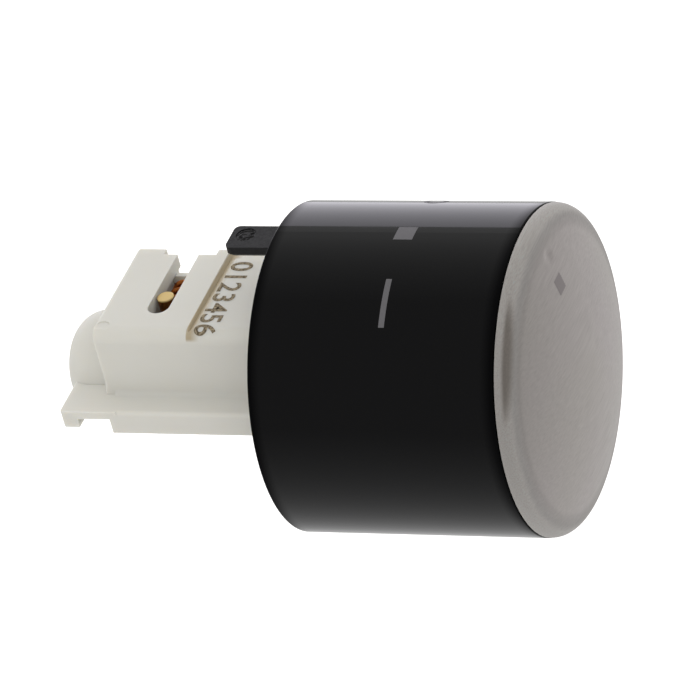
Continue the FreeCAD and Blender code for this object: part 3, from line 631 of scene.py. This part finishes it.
row = bmesh.new()
for place_in_row, digit in enumerate(digit_row):
    bm = digit_mesh(digit)
    half_turn = Matrix.Rotation(math.pi, 4, "Z")
    spread = Matrix.Diagonal((digit_width, digit_height, 1, 1))
    where = Vector((first_digit_x - digit_pitch * place_in_row,
                    digit_middle_y + digit_slant * place_in_row, 0))
    bmesh.ops.transform(bm, matrix=Matrix.Translation(where) @ half_turn @ spread, verts=bm.verts)
    loose = bpy.data.meshes.new("loose")
    bm.to_mesh(loose)
    bm.free()
    row.from_mesh(loose)
    bpy.data.meshes.remove(loose)
for step in range(1, fold_cuts + 1):
    bmesh.ops.bisect_plane(row, geom=[*row.verts, *row.edges, *row.faces], dist=1e-7,
                           plane_co=(edge_x - step * fold_step, 0, 0), plane_no=(1, 0, 0))
for vert in row.verts:
    lay_on_carrier(vert)
place_piece("carrier_digits", row, burnt, "carrier_body", smooth=False)

# %% [markdown]
# **Coil springs** are wound from round wire.  A circle that is spun about an axis, and pushed
# along it a little with every step, sweeps exactly that.  Real springs close up at their ends:
# the last turn has almost no pitch.  So each end is a spin of its own with a small push, and the
# turns between share what is left.  The wire's own two ends are closed with flat faces.

# %% A helper that winds a spring
def wound_spring(outer_r, wire, length, turns, closed_turns, steps=28, sides=12):
    """A spring along +Z from z = 0, with closed ends unless closed_turns is 0."""
    mean = outer_r - wire / 2
    bm = bmesh.new()
    made = bmesh.ops.create_circle(bm, segments=sides, radius=wire / 2, cap_ends=True)
    verts = made["verts"]
    bmesh.ops.rotate(bm, verts=verts, matrix=Matrix.Rotation(math.pi / 2, 3, "X"))
    bmesh.ops.translate(bm, verts=verts, vec=(mean, 0, wire / 2))
    closed_rise = closed_turns * wire * 1.04
    open_turns = turns - 2 * closed_turns
    open_rise = length - wire - 2 * closed_rise
    last = [*bm.faces, *bm.edges, *bm.verts]
    for count, rise in ((closed_turns, closed_rise), (open_turns, open_rise),
                        (closed_turns, closed_rise)):
        if count == 0:
            continue
        pieces = round(count * steps)
        swept = bmesh.ops.spin(bm, geom=last, cent=(0, 0, 0), axis=(0, 0, 1),
                               dvec=(0, 0, rise / pieces), angle=math.tau * count, steps=pieces)
        last = swept["geom_last"]
    return bm


# %% [markdown]
# ** The return spring** pushes the knob out. It stands between two washers and shortens by the
# knob's travel.  A spring can't ride on one body; here it rides on the carrier's body.

# %% Return spring
rear_washer_low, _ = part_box("spring_washer_rear")
_, front_washer_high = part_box("spring_washer_front")
spring_low, spring_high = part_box("return_spring")
return_length = rear_washer_low.y - front_washer_high.y
return_wire = 0.75 * mm
bm = wound_spring(spring_high.x, return_wire, return_length, turns=9.5, closed_turns=1.0)
lie_down = Matrix.Rotation(math.pi / 2, 4, "X")
bmesh.ops.transform(bm, verts=bm.verts,
                    matrix=Matrix.Translation((0, rear_washer_low.y, 0)) @ lie_down)
return_coil = place_piece("return_coil", bm, metals["drawn_spring_steel"], "carrier_body")
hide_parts("return_spring")
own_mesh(return_coil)

# %% [markdown]
# **The bias spring** holds the follower pin to one side of its slot.  Two of its turns show
# through the slot, behind the pin.

# %% Bias spring
bias_low, bias_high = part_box("bias_spring")
plate_low, plate_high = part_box("bias_spring_plate")
bias_length = bias_high.x - bias_low.x
bias_middle = (bias_low + bias_high) / 2
bias_r = (bias_high.z - bias_low.z) / 2
bias_wire = 0.65 * mm
bias_start = math.radians(149)        # where the wire's first end stands
print("bias spring", round(bias_length / mm, 2), "mm long, its plate from x =",
      round(plate_low.x / mm, 2), "to", round(plate_high.x / mm, 2), "mm")
bm = wound_spring(bias_r, bias_wire, bias_length, turns=2.28, closed_turns=0, steps=40, sides=20)
bmesh.ops.rotate(bm, verts=bm.verts, matrix=Matrix.Rotation(bias_start, 3, "Z"))
bmesh.ops.rotate(bm, verts=bm.verts, matrix=Matrix.Rotation(math.pi / 2, 3, "Y"))
bmesh.ops.translate(bm, verts=bm.verts, vec=(bias_low.x, bias_middle.y, bias_middle.z))
bias_coil = place_piece("bias_coil", bm, metals["bronze_wire"], "carrier_body")
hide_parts("bias_spring")
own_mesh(bias_coil)

# %% [markdown]
# **The gate scar** is where the tongue broke off its runner in the mould.  The plastic tears
# there and leaves a rough crater.  A fine grid, trimmed to a circle and pushed up and down by
# noise, fills the shallow round pocket of the tongue.

# %% Gate scar
tongue_low, tongue_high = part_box("guide_tongue")
torn, tree, shader, spot = blank(
    "torn_nylon", Base_Color=linear("0a0a0b"), Roughness=0.4, IOR=1.53)
fray = node(tree, "TexNoise", {"Vector": spot, "Scale": per_mm(0.15), "Detail": 3.0})
bump = node(tree, "Bump", {"Height": fray.outputs["Fac"], "Strength": 0.8, "Distance": 0.03 * mm})
tree.links.new(bump.outputs["Normal"], shader.inputs["Normal"])
gate_middle = Vector((0.35 * mm, tongue_high.y - 1.55 * mm, tongue_high.z))
gate_r = 0.97 * mm
gate_deep = 0.13 * mm
bm = bmesh.new()
bmesh.ops.create_grid(bm, x_segments=44, y_segments=44, size=gate_r)
outside = [vert for vert in bm.verts if vert.co.length > gate_r]
bmesh.ops.delete(bm, geom=outside, context="VERTS")
for vert in bm.verts:
    rim = vert.co.length / gate_r
    spot_at = Vector((vert.co.x, vert.co.y, 0)) / (0.33 * mm)
    swirl = noise.fractal(spot_at, 1.0, 2.0, 4) * 0.22 * mm
    fall = 1 - rim ** 4
    vert.co.z = min(-gate_deep * 0.55 + swirl * fall, 0.02 * mm)
bmesh.ops.translate(bm, verts=bm.verts, vec=gate_middle)
place_piece("gate_scar", bm, torn, "knob")

# %% [markdown]
# **The studio** is a pale floor under a soft even light.  The camera, and anything that mirrors,
# sees white behind the knob.  On the camera's side the studio is dim, as a real one
# is, and that is what keeps a black gloss black.  A tall white panel behind the knob makes the
# clear band along the upper edge of the sleeve.

# %% World
world = bpy.data.worlds.new("studio")
bpy.context.scene.world = world
world.use_nodes = True
tree = world.node_tree
tree.nodes.clear()
rays = node(tree, "LightPath")
heading = node(tree, "TexCoord").outputs["Generated"]
working_side = back.normalized()
facing = node(tree, "VectorMath", {0: heading, 1: working_side}, operation="DOT_PRODUCT")
room = node(tree, "MapRange", {"Value": facing.outputs["Value"], "From Min": 0.45, "From Max": -1.0,
                               "To Min": 0.206, "To Max": 0.74})
seen = node(tree, "Math", {0: rays.outputs["Is Camera Ray"],
                           1: rays.outputs["Is Transmission Ray"]}, operation="MAXIMUM")
mirrored = node(tree, "Background", {"Color": (1, 1, 1, 1), "Strength": room.outputs["Result"]})
lighting = node(tree, "Background", {"Color": linear("fffdfa"), "Strength": 0.88})
white = node(tree, "Background", {"Color": (1, 1, 1, 1), "Strength": 1.0})
by_gloss = node(tree, "MixShader", {"Fac": rays.outputs["Is Glossy Ray"],
                                    1: lighting.outputs[0], 2: mirrored.outputs[0]})
by_sight = node(tree, "MixShader", {"Fac": seen.outputs["Value"],
                                    1: by_gloss.outputs[0], 2: white.outputs[0]})
node(tree, "OutputWorld", {"Surface": by_sight.outputs[0]})

# %% [markdown]
# The lamps are two: the white panel behind, whose top edge stands at an elevation of about 30
# degrees, and a wide soft box overhead that gives the top faces a touch more light.

# %% Lamps
def soft_box(name, size_x, size_y, level, place, target):
    """An area lamp whose surface shines at the given level."""
    lamp = bpy.data.lights.new(name, "AREA")
    lamp.shape = "RECTANGLE"
    lamp.size = size_x
    lamp.size_y = size_y
    lamp.energy = level * math.pi * size_x * size_y
    box = bpy.data.objects.new(name, lamp)
    bpy.context.scene.collection.objects.link(box)
    box.location = place
    direction = Vector(target) - Vector(place)
    box.rotation_mode = "QUATERNION"
    box.rotation_quaternion = direction.to_track_quat("-Z", "Y")
    box.visible_camera = False
    return box


panel_away = 1.5
panel_near_y = 0.25
panel_far_y = 2.25
panel_top = panel_away * math.tan(math.radians(29.6))
panel_foot = panel_away * math.tan(math.radians(-17.0))
panel_middle = (panel_top + panel_foot) / 2
panel_y = (panel_near_y + panel_far_y) / 2
panel = soft_box("white_panel", panel_far_y - panel_near_y, panel_top - panel_foot, 0.88,
                 (panel_away, panel_y, panel_middle), (0, panel_y, panel_middle))
panel.data.color = linear("f4f0ff")[:3]
overhead = soft_box("overhead", 1.2, 1.2, 0.3, (-0.3, 0.1, 1.2), (0, 0, 0))
overhead.visible_glossy = False

# %% Floor
floor_drop = 30 * mm
floor_z = cad_box[0][2] - floor_drop
floor_paint, tree, shader, spot = blank("white_floor", Base_Color=(1, 1, 1, 1), Roughness=1.0)
rays = node(tree, "LightPath")
seen = node(tree, "Math", {0: rays.outputs["Is Camera Ray"],
                           1: rays.outputs["Is Transmission Ray"]}, operation="MAXIMUM")
lift = node(tree, "Math", {0: seen.outputs["Value"], 1: 0.5}, operation="MULTIPLY")
tree.links.new(lift.outputs["Value"], shader.inputs["Emission Strength"])
shader.inputs["Emission Color"].default_value = (1, 1, 1, 1)
shader.inputs["Specular IOR Level"].default_value = 0.0
bm = bmesh.new()
bmesh.ops.create_grid(bm, x_segments=1, y_segments=1, size=3.0)
bmesh.ops.translate(bm, verts=bm.verts, vec=(0, 0, floor_z))
floor_mesh = bpy.data.meshes.new("floor")
bm.to_mesh(floor_mesh)
bm.free()
floor_mesh.materials.append(floor_paint)
floor = bpy.data.objects.new("floor", floor_mesh)
bpy.context.scene.collection.objects.link(floor)
floor.visible_glossy = False
bpy.context.scene.view_settings.view_transform = "Standard"
print("floor at z =", round(floor_z / mm, 2), "mm")
